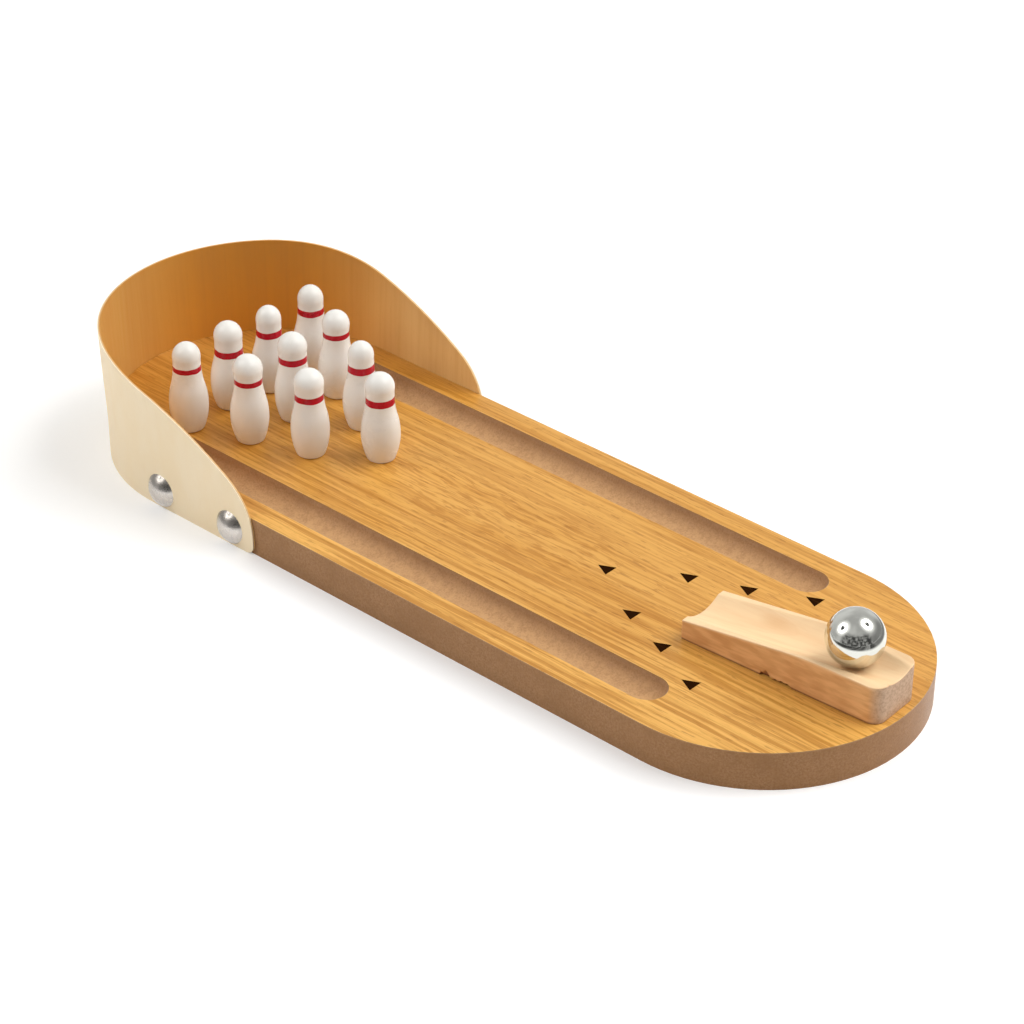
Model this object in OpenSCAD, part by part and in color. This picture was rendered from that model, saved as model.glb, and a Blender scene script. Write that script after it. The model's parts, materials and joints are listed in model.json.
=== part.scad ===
// Tabletop bowling game: a round-ended lane board with two gutters, a bent plywood guard
// round the pin deck, ten turned pins, a grooved ball ramp and a steel ball.
// Millimetres. +Y runs down the lane to the pins, +X is the bowler's right, +Z is up.
// The origin is under the middle of the game, on the face it rests on.

/* [Lane board] */
// Length of the board, from round end to round end
board_l = 296; // [270:1:340]
// Width of the board, which is also the diameter of its round ends
board_w = 100; // [94:1:120]
// Thickness of the fibreboard core
core_t = 12; // [11:0.5:18]
// Thickness of the oak face sheet
face_t = 0.3; // [0.2:0.1:1]

/* [Gutters] */
// Radius of the ball-nosed cutter that makes the gutters
gutter_r = 6.35; // [5:0.05:7]
// Depth of the gutters below the playing face
gutter_depth = 4.5; // [3:0.1:5]
// Distance from the board's side to the middle of a gutter
gutter_inset = 14; // [13:0.25:18]
// Distance from the board's front end to where the cutter goes in
gutter_front = 60; // [50:1:80]
// Distance from the board's back end to where the cutter comes out
gutter_back = 48; // [44:1:70]

/* [Pin guard] */
// Thickness of the bent plywood
guard_t = 0.8; // [0.6:0.1:2]
// Height of the guard round the back
guard_h = 44.2; // [42:0.2:60]
// How far the guard runs forward from the board's back end
guard_reach = 95; // [90:1:120]
// Height of the upright toe at the front of the guard
toe_h = 5; // [4:0.5:8]
// Radius of the toe's lower corner
toe_round = 3; // [1:0.5:4]
// Radius of the tight curve above the toe
swoop_r = 21.5; // [18:0.5:30]
// Distance from the toe to where the top edge becomes level
swoop_l = 83.5; // [75:0.5:90]
// How far the guard's rim leans out past its foot
guard_flare = 1.3; // [0:0.1:3]
// Gap between the board's edge and the guard, filled with glue
guard_gap = 0.1; // [0.05:0.05:0.3]

/* [Tacks] */
// Diameter of the domed head
tack_d = 11; // [9:0.5:11.5]
// Height of the dome
dome_h = 2.8; // [2:0.1:4]
// Thickness of the pressed sheet that the dome is made of
dome_t = 0.5; // [0.3:0.1:0.8]
// Diameter of the shank
shank_d = 1.6; // [1.2:0.1:2.2]
// Length of the shank, from the guard's outer face to its point
shank_l = 11; // [7:0.5:13]
// Length of the shank's tapered point
point_l = 2.5; // [1:0.5:4]
// Gap round the shank in its hole
shank_gap = 0.05; // [0.03:0.01:0.1]
// Height of the tacks above the table
tack_z = 5.8; // [5.8:0.1:7]
// Distance from the guard's toe to the first tack
tack_first = 10; // [8.5:0.5:16]
// Distance from the first tack to the second
tack_gap = 30.5; // [22:0.5:34]

/* [Pins] */
// Height of a pin
pin_h = 30; // [27:0.5:31]
// Diameter of the round head
head_d = 9.4; // [9.2:0.1:10.5]
// Smallest diameter of the neck
neck_d = 8.9; // [7.5:0.1:9]
// Largest diameter of the belly
belly_d = 12.4; // [11.5:0.1:13.5]
// Height of the belly's widest place
belly_z = 8.8; // [8:0.1:10]
// Radius of the belly's long curve
belly_r = 24; // [22:0.5:30]
// Radius of the rounded edge under the foot
foot_round = 0.8; // [0.4:0.1:1.5]
// Height of the middle of the red band
band_z = 21; // [19:0.1:22]
// Width of the red band
band_w = 2.2; // [1.5:0.1:3]
// Thickness of the band's paint
band_t = 0.06; // [0.04:0.01:0.12]
// Distance between neighbouring pins of one row
pin_pitch = 18.5; // [17.5:0.1:20]
// Distance from one row of pins to the next
pin_row = 18.7; // [17:0.1:19.5]
// Distance from the board's back end to the back row
pin_back = 41.4; // [34:0.1:48]

/* [Ball ramp] */
// Length of the ramp block
ramp_l = 66; // [60:1:75]
// Width of the ramp block
ramp_w = 19.5; // [18:0.5:24]
// Height of the ramp block at its rear
ramp_h = 12; // [11.5:0.5:14]
// Height of the ramp block at its lane end
ramp_lip = 6.4; // [5.5:0.1:7.5]
// Length of the sloping part of the top
ramp_run = 42; // [36:1:48]
// Radius of the soft break between slope and level top
crown_r = 120; // [40:10:160]
// Radius of the rear corners
ramp_round = 4; // [2:0.5:6]
// Radius of the ball groove
groove_r = 13; // [10:0.5:18]
// Height of the groove's floor at the lane end
groove_lip = 4.2; // [3:0.1:5]
// Slope of the groove's floor, in degrees
groove_slope = 5.7; // [5:0.1:6.6]
// Distance from the lane's middle line to the ramp's middle
ramp_x = -0.4; // [-6:0.1:6]
// Distance from the board's front end to the ramp's middle
ramp_y = 35.5; // [34.5:0.5:60]
// Turn of the ramp from the lane's own line, in degrees
ramp_turn = 2.7; // [-12:0.1:12]

/* [Ball] */
// Diameter of the steel ball
ball_d = 17; // [15:0.5:18]
// Distance from the ramp's lane end to the ball's middle, along the table
ball_up = 51; // [40:1:54]
// Gap between the ball and the groove
ball_gap = 0.1; // [0.05:0.05:0.3]

/* [Hidden] */

// Facets of a round outline, and of a long shallow curve
$fn = 96;
long_fn = 720;
// How far a cutter runs past what it cuts
past = 1;

// Places along the lane
end_r = board_w / 2;
front_y = -(board_l + guard_gap + guard_t + guard_flare) / 2;
back_y = front_y + board_l;
front_mid = front_y + end_r;
back_mid = back_y - end_r;
play_z = core_t + face_t;

// Guard: its faces, the height where it starts to lean out, its toe,
// and the long curve that meets the tight one
guard_in = end_r + guard_gap;
guard_out = guard_in + guard_t;
rim_out = guard_out + guard_flare;
lean_z = max(play_z, tack_z + tack_d / 2);
toe_y = back_y - guard_reach;
rise = guard_h - toe_h;
long_r = (pow(swoop_l, 2) + pow(rise, 2) - 2 * swoop_l * swoop_r) / (2 * (rise - swoop_r));
long_z = guard_h - long_r;
blend_y = swoop_r - swoop_r * (swoop_l - swoop_r) / (long_r - swoop_r);

// Tack: the radius of the ball that its dome is cut from
dome_r = (pow(tack_d / 2, 2) + pow(dome_h, 2)) / (2 * dome_h);

function tack_y(i) = toe_y + tack_first + i * tack_gap;

// Pin: each curve is a circle that touches the next one
head_r = head_d / 2;
neck_r = neck_d / 2;
head_z = pin_h - head_r;
belly_x = belly_d / 2 - belly_r;
// A neck circle of radius r lies sqrt(k0 + k1 * r) below the head and above the belly
head_k1 = 2 * (head_r - neck_r);
head_k0 = (head_r - neck_r) * (head_r + neck_r);
belly_k1 = 2 * (belly_d / 2 - neck_r);
belly_k0 = (belly_d / 2 - neck_r) * (2 * belly_r + neck_r - belly_d / 2);
span = head_z - belly_z;
quad_a = belly_k1 / head_k1 - 1;
quad_c = belly_k0 - belly_k1 * head_k0 / head_k1 - pow(span, 2);
neck_drop = (sqrt(pow(span, 2) - quad_a * quad_c) - span) / quad_a;
neck_curve = (pow(neck_drop, 2) - head_k0) / head_k1;
neck_x = neck_r + neck_curve;
neck_z = head_z - neck_drop;
// Heights where the curves change over, on the outline grown by a distance
function neck_top(grow) = head_z - neck_drop * (head_r + grow) / (head_r + neck_curve);
function neck_low(grow) = belly_z + (neck_z - belly_z) * (belly_r + grow) / (belly_r + neck_curve);
foot_x = belly_x + sqrt(pow(belly_r - foot_round, 2) - pow(belly_z - foot_round, 2));
foot_top = belly_z - belly_r * (belly_z - foot_round) / (belly_r - foot_round);

// Pins are numbered as bowlers do, from the head pin and from left to right
head_pin_y = back_y - pin_back - 3 * pin_row;
// How far each pin stands from its spot, because they are set up by hand
pin_nudge = [
    [1.5, 0],
    [-2, -1], [2, -1],
    [0.5, 0], [0.5, -0.5], [1.5, 0],
    [2, 0.5], [1.5, 1], [-1, -0.5], [-1.5, -1]
];
// How far each pin's painted band strays from the common height and width
band_stray = [
    [-0.35, 0.3],
    [-0.6, 0], [0.1, 0.2],
    [0, -0.3], [0.3, 0], [1, -0.2],
    [0.4, -0.3], [-1.3, 0.1], [-0.4, 0.1], [0.3, 0]
];
function pin_row_of(k) = floor((sqrt(8 * k - 7) - 1) / 2);
function pin_place(k, row) = k - row * (row + 1) / 2 - 1;

// Ramp: the angle of its slope, and the length that the soft break takes from each side
ramp_mid = front_y + ramp_y;
slope = atan((ramp_h - ramp_lip) / ramp_run);
break_l = crown_r * tan(slope / 2);
crown_steps = 8;

// Outline of the board, grown all round by a distance
module round_ended(grow = 0) {
    for (y = [front_mid, back_mid]) {
        translate([0, y]) circle(r = end_r + grow, $fn = 2 * $fn);
    }
    translate([-end_r - grow, front_mid]) square([2 * (end_r + grow), back_mid - front_mid]);
}

// Path of the ball-nosed cutter: a round bar with a ball at each end
module gutter_cut(side) {
    from_y = front_y + gutter_front;
    to_y = back_y - gutter_back;
    translate([side * (end_r - gutter_inset), 0, play_z - gutter_depth + gutter_r]) {
        translate([0, from_y, 0]) rotate([-90, 0, 0]) cylinder(r = gutter_r, h = to_y - from_y);
        for (y = [from_y, to_y]) translate([0, y, 0]) sphere(r = gutter_r);
    }
}

// Hole for a tack's shank, from outside the guard to past the shank's tip
module shank_hole(side, y) {
    translate([side * (guard_out - shank_l - past), y, tack_z])
        rotate([0, side * 90, 0])
            cylinder(d = shank_d + 2 * shank_gap, h = shank_l + 2 * past, $fn = 48);
}

module shank_holes() {
    for (side = [-1, 1]) {
        for (i = [0, 1]) shank_hole(side, tack_y(i));
    }
}

module lane_board() {
    color("sienna")
    difference() {
        linear_extrude(core_t) round_ended();
        gutter_cut(-1);
        gutter_cut(1);
        shank_holes();
    }
}

module oak_face() {
    color("goldenrod")
    difference() {
        translate([0, 0, core_t]) linear_extrude(face_t) round_ended();
        gutter_cut(-1);
        gutter_cut(1);
    }
}

// Side view of the guard from its toe: toe, tight curve, long curve, level top
module guard_side() {
    reach = guard_reach + rim_out - end_r + past;
    translate([toe_round, 0]) square([blend_y - toe_round, toe_h]);
    translate([0, toe_round]) square([toe_round + past, toe_h - toe_round]);
    translate([toe_round, toe_round]) circle(r = toe_round);
    intersection() {
        translate([swoop_r, toe_h]) circle(r = swoop_r, $fn = 2 * $fn);
        translate([0, toe_h]) square([swoop_r, swoop_r]);
    }
    intersection() {
        translate([swoop_l, long_z]) circle(r = long_r, $fn = long_fn);
        translate([blend_y, 0]) square([swoop_l - blend_y, guard_h]);
    }
    translate([swoop_l, 0]) square([reach - swoop_l, guard_h]);
}

// Section of the guard's wall: upright against the board's edge, then leaning out to the rim
module guard_section() {
    polygon([
        [guard_in, 0],
        [guard_out, 0],
        [guard_out, lean_z],
        [rim_out, guard_h],
        [rim_out - guard_t, guard_h],
        [guard_in, lean_z]
    ]);
}

// Wall of the guard at its full height: a bend round the board's back end and two straight legs
module guard_wall() {
    translate([0, back_mid, 0])
        intersection() {
            rotate_extrude($fn = 2 * $fn) guard_section();
            translate([-rim_out - past, 0, 0]) cube([2 * (rim_out + past), rim_out + past, guard_h]);
        }
    for (side = [0, 1]) {
        mirror([side, 0, 0])
            translate([0, back_mid, 0])
                rotate([90, 0, 0])
                    linear_extrude(back_mid - toe_y) guard_section();
    }
}

module pin_guard() {
    color("burlywood")
    difference() {
        intersection() {
            guard_wall();
            translate([-rim_out - past, toe_y, 0])
                rotate([90, 0, 90])
                    linear_extrude(2 * (rim_out + past)) guard_side();
        }
        shank_holes();
    }
}

// Half section of a tack: a dome pressed from sheet, with its pointed shank welded in the crown
module tack_half() {
    difference() {
        intersection() {
            translate([0, dome_h - dome_r]) circle(r = dome_r);
            square([tack_d, dome_h + past]);
        }
        translate([0, dome_h - dome_r]) circle(r = dome_r - dome_t);
    }
    polygon([
        [0, -shank_l],
        [shank_d / 2, point_l - shank_l],
        [shank_d / 2, dome_h - dome_t / 2],
        [0, dome_h - dome_t / 2]
    ]);
}

module tack(side, i) {
    color("silver")
    translate([side * guard_out, tack_y(i), tack_z])
        rotate([0, side * 90, 0])
            rotate_extrude() tack_half();
}

// Half outline of a turned pin, with its curves grown by a distance
module pin_half(grow = 0) {
    low = neck_low(grow);
    intersection() {
        square([belly_d, pin_h + grow]);
        union() {
            translate([0, head_z]) circle(r = head_r + grow);
            difference() {
                translate([0, low]) square([belly_d / 2, neck_top(grow) - low]);
                translate([neck_x, neck_z]) circle(r = neck_curve - grow, $fn = 4 * $fn);
            }
            intersection() {
                translate([belly_x, belly_z]) circle(r = belly_r + grow, $fn = 4 * $fn);
                translate([0, foot_top]) square([belly_d, low - foot_top]);
            }
            square([foot_x, foot_top]);
            translate([foot_x, foot_round]) circle(r = foot_round);
        }
    }
}

module pin(k) {
    row = pin_row_of(k);
    x = (pin_place(k, row) - row / 2) * pin_pitch;
    y = head_pin_y + row * pin_row;
    translate([x + pin_nudge[k - 1][0], y + pin_nudge[k - 1][1], play_z]) {
        color("white") rotate_extrude() pin_half();
        color("crimson") neck_band(band_z + band_stray[k - 1][0], band_w + band_stray[k - 1][1]);
    }
}

// Painted band: it follows the neck, a paint's thickness proud of the wood
module neck_band(z, w) {
    rotate_extrude()
        intersection() {
            translate([0, z - w / 2]) square([belly_d, w]);
            pin_half(band_t);
        }
}

// Side view of the ramp from its lane end: a slope, a soft break in small steps and a level top
module ramp_side() {
    crown = [
        for (i = [0 : crown_steps])
            let (a = slope * i / crown_steps)
            [ramp_run + break_l - crown_r * sin(a), ramp_h - crown_r * (1 - cos(a))]
    ];
    polygon(concat([[0, 0], [ramp_l, 0], [ramp_l, ramp_h]], crown, [[0, ramp_lip]]));
}

// Plan of the ramp: a sharp lane end and rounded rear corners
module ramp_plan() {
    translate([-ramp_w / 2, -ramp_l / 2 + ramp_round]) square([ramp_w, ramp_l - ramp_round]);
    translate([-ramp_w / 2 + ramp_round, -ramp_l / 2]) square([ramp_w - 2 * ramp_round, ramp_l]);
    for (x = [-1, 1]) {
        translate([x * (ramp_w / 2 - ramp_round), -ramp_l / 2 + ramp_round]) circle(r = ramp_round);
    }
}

// Places a piece that is drawn round the ramp's middle on the playing face, turned as the ramp is
module on_ramp() {
    translate([ramp_x, ramp_mid, play_z]) rotate([0, 0, ramp_turn]) children();
}

module ball_ramp() {
    color("wheat")
    on_ramp()
    difference() {
        intersection() {
            linear_extrude(ramp_h) ramp_plan();
            translate([ramp_w / 2 + past, ramp_l / 2, 0])
                rotate([90, 0, -90])
                    linear_extrude(ramp_w + 2 * past) ramp_side();
        }
        translate([0, ramp_l / 2, groove_lip])
            rotate([90 - groove_slope, 0, 0])
                translate([0, groove_r, -ramp_l])
                    cylinder(r = groove_r, h = 3 * ramp_l, $fn = 4 * $fn);
    }
}

module steel_ball() {
    lift = (ball_d / 2 + ball_gap) / cos(groove_slope);
    color("lightsteelblue")
    on_ramp()
    translate([0, ramp_l / 2 - ball_up, groove_lip + ball_up * tan(groove_slope) + lift])
        sphere(d = ball_d);
}

lane_board();
oak_face();
pin_guard();
tack(-1, 0);  // tack_left_front
tack(-1, 1);  // tack_left_rear
tack(1, 0);  // tack_right_front
tack(1, 1);  // tack_right_rear
pin(1);  // pin_01
pin(2);  // pin_02
pin(3);  // pin_03
pin(4);  // pin_04
pin(5);  // pin_05
pin(6);  // pin_06
pin(7);  // pin_07
pin(8);  // pin_08
pin(9);  // pin_09
pin(10);  // pin_10
ball_ramp();
steel_ball();
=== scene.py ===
import json
import math

import bpy
import numpy as np
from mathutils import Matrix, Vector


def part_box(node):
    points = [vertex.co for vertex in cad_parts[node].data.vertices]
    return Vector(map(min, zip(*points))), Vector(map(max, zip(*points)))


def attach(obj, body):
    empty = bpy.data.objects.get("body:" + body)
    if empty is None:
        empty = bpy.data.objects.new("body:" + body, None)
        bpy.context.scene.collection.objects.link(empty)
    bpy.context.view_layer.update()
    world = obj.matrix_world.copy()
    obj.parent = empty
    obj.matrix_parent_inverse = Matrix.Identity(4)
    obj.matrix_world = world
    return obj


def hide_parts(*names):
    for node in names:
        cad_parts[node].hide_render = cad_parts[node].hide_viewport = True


# Tabletop bowling game: an oak-faced board with two gutters, a bent plywood guard, pins, a ramp and a ball
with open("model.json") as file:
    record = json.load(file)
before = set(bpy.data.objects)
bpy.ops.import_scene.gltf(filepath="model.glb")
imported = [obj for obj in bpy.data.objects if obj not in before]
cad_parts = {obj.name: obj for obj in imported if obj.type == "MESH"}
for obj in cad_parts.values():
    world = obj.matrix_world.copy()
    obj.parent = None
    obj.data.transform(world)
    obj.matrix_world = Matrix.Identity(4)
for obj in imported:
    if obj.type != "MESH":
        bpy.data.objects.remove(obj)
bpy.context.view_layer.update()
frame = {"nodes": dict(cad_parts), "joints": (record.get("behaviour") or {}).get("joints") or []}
nodes = frame["nodes"]
rampPivot = next(joint["pos_m"] for joint in frame["joints"] if joint["name"] == "ramp_aim")
scene = bpy.context.scene
scene.view_settings.view_transform = "Standard"
mm = 0.001
print("frame loaded:", len(nodes), "nodes")

# The camera stands on the player's left, as for the photograph; places are metres in the frame
camera = {
    "place": (-0.57462, -0.52635, 0.50654),
    "aim": (0.00530, -0.00148, 0.01230),
    "roll": 0.34,
    "lens": 108.93,
    "clip": (0.02, 30.0),
}


# Camera: it looks from its place to its aim, then turns by its roll about its own line of sight
def makeCamera():
    data = bpy.data.cameras.new("camera")
    data.lens = camera["lens"]
    data.clip_start, data.clip_end = camera["clip"]
    sight = Vector(camera["aim"]) - Vector(camera["place"])
    turn = sight.to_track_quat("-Z", "Y").to_matrix().to_4x4()
    roll = Matrix.Rotation(math.radians(camera["roll"]), 4, "Z")
    holder = bpy.data.objects.new("camera", data)
    holder.matrix_world = Matrix.Translation(camera["place"]) @ turn @ roll
    scene.collection.objects.link(holder)
    scene.camera = holder


makeCamera()
print("camera placed")


# Links a socket to an input, or writes a number, a vector or a colour into it
def give(tree, socket, value):
    if isinstance(value, bpy.types.NodeSocket):
        tree.links.new(value, socket)
    elif socket.type == "RGBA":
        socket.default_value = (*value[:3], 1.0)
    else:
        socket.default_value = value


# Adds one node: each input is a number, a colour or the socket to link, the rest are the node's settings
def addNode(tree, kind, inputs=None, **settings):
    node = tree.nodes.new(kind)
    for key, value in settings.items():
        setattr(node, key, value)
    for key, value in (inputs or {}).items():
        give(tree, node.inputs[key], value)
    return node


# One sum on one to three numbers or sockets
def mathOf(tree, operation, first, second=0.0, third=0.0, clamp=False):
    values = {0: first, 1: second, 2: third}
    return addNode(tree, "ShaderNodeMath", values, operation=operation, use_clamp=clamp).outputs["Value"]


# The product of two numbers
def timesOf(tree, first, second):
    return mathOf(tree, "MULTIPLY", first, second)


# The product of two numbers, plus a third
def timesPlus(tree, first, second, third):
    return mathOf(tree, "MULTIPLY_ADD", first, second, third)


# The difference of two numbers
def minusOf(tree, first, second):
    return mathOf(tree, "SUBTRACT", first, second)


# How far a number is from a middle, on either side
def awayFrom(tree, value, middle):
    return mathOf(tree, "ABSOLUTE", minusOf(tree, value, middle))


# One sum on vectors, of which a length or a dot product is a number
def vectorOf(tree, operation, first, second=(0.0, 0.0, 0.0)):
    node = addNode(tree, "ShaderNodeVectorMath", {0: first, 1: second}, operation=operation)
    return node.outputs["Value" if operation in ("LENGTH", "DOT_PRODUCT") else "Vector"]


# A vector measured in units of a size
def inUnitsOf(tree, vector, size):
    values = {0: vector, "Scale": mathOf(tree, "DIVIDE", 1.0, size)}
    return addNode(tree, "ShaderNodeVectorMath", values, operation="SCALE").outputs["Vector"]


# The three parts of a vector
def splitOf(tree, vector):
    return addNode(tree, "ShaderNodeSeparateXYZ", {"Vector": vector}).outputs


# A vector from its three parts
def joinOf(tree, x, y=0.0, z=0.0):
    return addNode(tree, "ShaderNodeCombineXYZ", {"X": x, "Y": y, "Z": z}).outputs["Vector"]


# How far the surface faces up: the Z part of its own normal
def upwardOf(tree):
    return splitOf(tree, addNode(tree, "ShaderNodeTexCoord").outputs["Normal"])["Z"]


# A soft step: 0 up to the low value, 1 from the high value on
def stepOf(tree, value, low, high, toLow=0.0, toHigh=1.0):
    values = {"Value": value, "From Min": low, "From Max": high, "To Min": toLow, "To Max": toHigh}
    return addNode(tree, "ShaderNodeMapRange", values, interpolation_type="SMOOTHSTEP").outputs["Result"]


# Noise from 0 to 1 about a half, one feature a unit wide at scale 1
def noiseOf(tree, vector, scale=1.0, detail=2.0, roughness=0.5, distortion=0.0):
    values = {
        "Vector": vector, "Scale": scale, "Detail": detail, "Roughness": roughness, "Distortion": distortion,
    }
    return addNode(tree, "ShaderNodeTexNoise", values).outputs["Fac"]


# Noise on a vector that is first stretched by its own share for each axis
def drawnNoise(tree, vector, shares, detail, roughness=0.5):
    return noiseOf(tree, vectorOf(tree, "MULTIPLY", vector, shares), 1.0, detail, roughness)


# Goes from one colour to the other by the factor
def blendOf(tree, factor, first, second):
    return addNode(tree, "ShaderNodeMix", {0: factor, 6: first, 7: second}, data_type="RGBA").outputs[2]


# Lays a colour over another where a mask shows it, at a share of its strength
def layOver(tree, under, mask, share, over):
    return blendOf(tree, timesOf(tree, mask, share), under, over)


# Starts a shader group: its inputs are a vector and named sizes, and its outputs are named numbers
def newGroup(name, sizes, results):
    tree = bpy.data.node_groups.new(name, "ShaderNodeTree")
    tree.interface.new_socket(name="Vector", in_out="INPUT", socket_type="NodeSocketVector")
    for key, value in sizes.items():
        socket = tree.interface.new_socket(name=key, in_out="INPUT", socket_type="NodeSocketFloat")
        socket.default_value = value
    for key in results:
        tree.interface.new_socket(name=key, in_out="OUTPUT", socket_type="NodeSocketFloat")
    return tree, tree.nodes.new("NodeGroupInput").outputs


# Links the group's results to its outputs
def endGroup(tree, results):
    end = tree.nodes.new("NodeGroupOutput")
    for key, value in results.items():
        tree.links.new(value, end.inputs[key])
    return tree


# Places a group in a material, on a vector and with this finish's own sizes
def useGroup(tree, group, vector, sizes):
    return addNode(tree, "ShaderNodeGroup", {"Vector": vector, **sizes}, node_tree=group).outputs


# Year rings: the distance from a pith line along Y that climbs by the tilt, bent by slow noise, in ring
# widths. The result runs from 0 to 1 across each ring.
def makeGrowthRings():
    sizes = {"Pith X": 0.0, "Pith Z": 0.0, "Tilt": 0.0, "Ring Width": 3.0, "Wander": 2.0}
    tree, given = newGroup("growthRings", sizes, ["Ring"])
    slow = drawnNoise(tree, given["Vector"], (0.06, 0.014, 0.06), 3.0)
    bend = timesOf(tree, minusOf(tree, slow, 0.5), given["Wander"])
    place = splitOf(tree, given["Vector"])
    across = mathOf(tree, "ADD", minusOf(tree, place["X"], given["Pith X"]), bend)
    climb = timesPlus(tree, place["Y"], given["Tilt"], bend)
    height = mathOf(tree, "ADD", minusOf(tree, place["Z"], given["Pith Z"]), climb)
    reach = vectorOf(tree, "LENGTH", joinOf(tree, across, height))
    count = mathOf(tree, "DIVIDE", reach, given["Ring Width"])
    return endGroup(tree, {"Ring": mathOf(tree, "FRACT", count)})


# Fibres: noise drawn out along Y, of which only the part above a level shows, as dashes or streaks
def makeFibreLines():
    sizes = {"Width": 0.5, "Length": 6.0, "Level": 0.55, "Softness": 0.1}
    tree, given = newGroup("fibreLines", sizes, ["Lines", "Tone"])
    place = splitOf(tree, given["Vector"])
    spans = {"X": "Width", "Y": "Length", "Z": "Width"}
    drawn = joinOf(tree, *(mathOf(tree, "DIVIDE", place[axis], given[span]) for axis, span in spans.items()))
    tone = noiseOf(tree, drawn, 0.5, 2.0, 0.55)
    top = mathOf(tree, "ADD", given["Level"], given["Softness"])
    return endGroup(tree, {"Lines": stepOf(tree, tone, given["Level"], top), "Tone": tone})


# Grit: fine even noise, and sparse round specks where cells of a pattern come close to their middles
def makeFineGrit():
    tree, given = newGroup("fineGrit", {"Size": 0.4, "Specks": 0.2}, ["Grit", "Specks"])
    small = inUnitsOf(tree, given["Vector"], given["Size"])
    grit = noiseOf(tree, small, 0.5, 3.0, 0.65)
    cells = addNode(tree, "ShaderNodeTexVoronoi", {"Vector": small, "Scale": 0.22}).outputs
    dots = stepOf(tree, cells["Distance"], given["Specks"], 0.0)
    random = addNode(tree, "ShaderNodeSeparateColor", {"Color": cells["Color"]}).outputs[0]
    chosen = stepOf(tree, random, 0.45, 0.6)
    return endGroup(tree, {"Grit": grit, "Specks": timesOf(tree, dots, chosen)})


# Handling: broad soft smudges, and broken hair-thin scratches where a drawn-out noise crosses its middle
def makeHandMarks():
    tree, given = newGroup("handMarks", {"Smudge Size": 4.0, "Scratch Length": 3.0}, ["Smudge", "Scratch"])
    wide = inUnitsOf(tree, given["Vector"], given["Smudge Size"])
    smudge = stepOf(tree, noiseOf(tree, wide, 0.5, 3.0, 0.6, 0.6), 0.45, 0.7)
    long = inUnitsOf(tree, given["Vector"], given["Scratch Length"])
    path = noiseOf(tree, vectorOf(tree, "MULTIPLY", long, (0.5, 3.0, 1.2)), 0.7, 0.0, 0.5, 1.5)
    line = stepOf(tree, awayFrom(tree, path, 0.5), 0.006, 0.0)
    broken = stepOf(tree, noiseOf(tree, long, 1.1, 1.0), 0.5, 0.6)
    return endGroup(tree, {"Smudge": smudge, "Scratch": timesOf(tree, line, broken)})


# Distance from a line along Y that ends short of both ends, or from a pair of them to the left and right
def makeRailDistance():
    sizes = {"Aside": 0.0, "Middle": 0.0, "Half Length": 10.0}
    tree, given = newGroup("railDistance", sizes, ["Distance"])
    place = splitOf(tree, given["Vector"])
    across = minusOf(tree, mathOf(tree, "ABSOLUTE", place["X"]), given["Aside"])
    along = awayFrom(tree, place["Y"], given["Middle"])
    beyond = mathOf(tree, "MAXIMUM", minusOf(tree, along, given["Half Length"]), 0.0)
    return endGroup(tree, {"Distance": vectorOf(tree, "LENGTH", joinOf(tree, across, beyond))})


growthRings = makeGrowthRings()
fibreLines = makeFibreLines()
fineGrit = makeFineGrit()
handMarks = makeHandMarks()
railDistance = makeRailDistance()
print("shared groups made")


# The fibre group with its sizes given as (width, length, level, softness)
def fibresOf(tree, vector, sizes):
    return useGroup(tree, fibreLines, vector, dict(zip(("Width", "Length", "Level", "Softness"), sizes)))


# Starts a material with its shader's constants: it, its tree and the place on the object in millimetres
def newMaterial(name, **constants):
    material = bpy.data.materials.new(name)
    material.use_nodes = True
    tree = material.node_tree
    for key, value in constants.items():
        tree.nodes["Principled BSDF"].inputs[key.replace("_", " ")].default_value = value
    place = addNode(tree, "ShaderNodeTexCoord").outputs["Object"]
    inMillimetres = addNode(tree, "ShaderNodeMapping", {"Vector": place, "Scale": (1 / mm, 1 / mm, 1 / mm)})
    return material, tree, inMillimetres.outputs["Vector"]


# Gives a material its colour, a bump as high as the finish's relief in millimetres, and a roughness that
# goes between the finish's two values as the wear goes from low to high
def finishMaterial(material, values, colour, height, wear, low, high):
    tree = material.node_tree
    roughness = stepOf(tree, wear, low, high, *values["roughness"])
    bump = addNode(tree, "ShaderNodeBump", {"Height": height, "Distance": values["relief"] * mm})
    for key, value in (("Base Color", colour), ("Roughness", roughness), ("Normal", bump.outputs["Normal"])):
        tree.links.new(value, tree.nodes["Principled BSDF"].inputs[key])
    return material


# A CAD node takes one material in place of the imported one
def dress(name, material):
    nodes[name].data.materials.clear()
    nodes[name].data.materials.append(material)


# Places are millimetres in the frame: (aside, middle along the lane, half length, half width) of the
# gutters' rims and of the board's outline
boardPlan = {"gutters": (36.0, 4.9, 94.0, 6.07), "outline": (0.0, -1.1, 98.0, 50.0)}


# How far a place is from the middle line of the gutters or of the board's outline, and that line's half width
def railOf(tree, place, which):
    aside, middle, halfLength, halfWidth = boardPlan[which]
    sizes = {"Aside": aside, "Middle": middle, "Half Length": halfLength}
    return useGroup(tree, railDistance, place, sizes)["Distance"], halfWidth


# How near a place is to a gutter's rim or to the board's outline: 1 at the rim, 0 from the given width on
def rimOf(tree, place, width, which):
    distance, halfWidth = railOf(tree, place, which)
    return stepOf(tree, awayFrom(tree, distance, halfWidth), width, 0.3 * width)


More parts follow.
